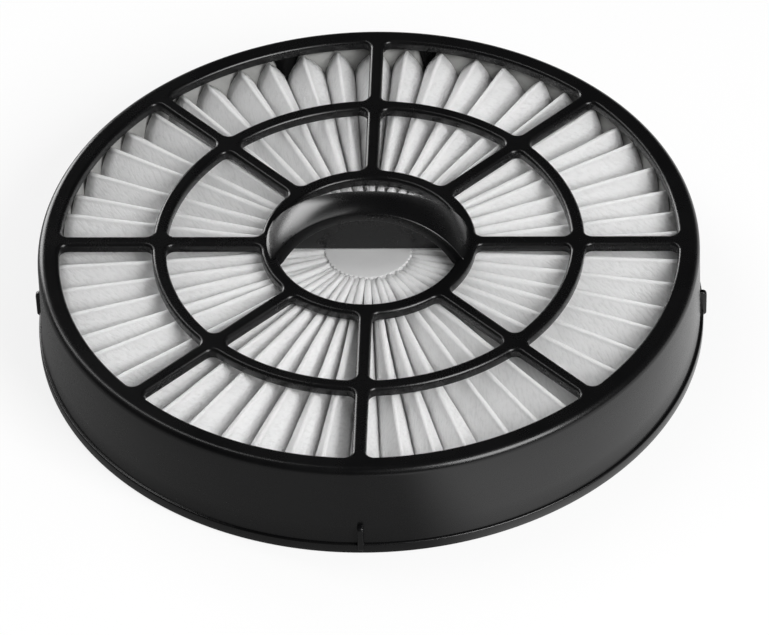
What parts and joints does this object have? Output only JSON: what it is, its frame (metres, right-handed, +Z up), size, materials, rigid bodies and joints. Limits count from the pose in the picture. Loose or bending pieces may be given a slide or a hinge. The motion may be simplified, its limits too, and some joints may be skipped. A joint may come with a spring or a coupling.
{
  "type": "vacuum cleaner filter",
  "caption": "Round pleated vacuum cleaner filter in a moulded drum with a spoked grille and an arched finger grip",
  "frame": {"origin": "centre of the base lip's lower face, where the filter stands", "axes": "+Z up along the drum's axis, towards the grip; +X along the grip's web"},
  "size_m": [0.1638, 0.1638, 0.0384],
  "materials": {
    "black_plastic": "satin moulded",
    "filter_fleece": "embossed nonwoven",
    "plug_compound": "matte",
    "edge_compound": "matte"
  },
  "bodies": {
    "root": {"filter_frame": "black_plastic", "pleated_media": "filter_fleece", "hub_plug": "plug_compound", "edge_sealant": "edge_compound"}
  },
  "joints": []
}
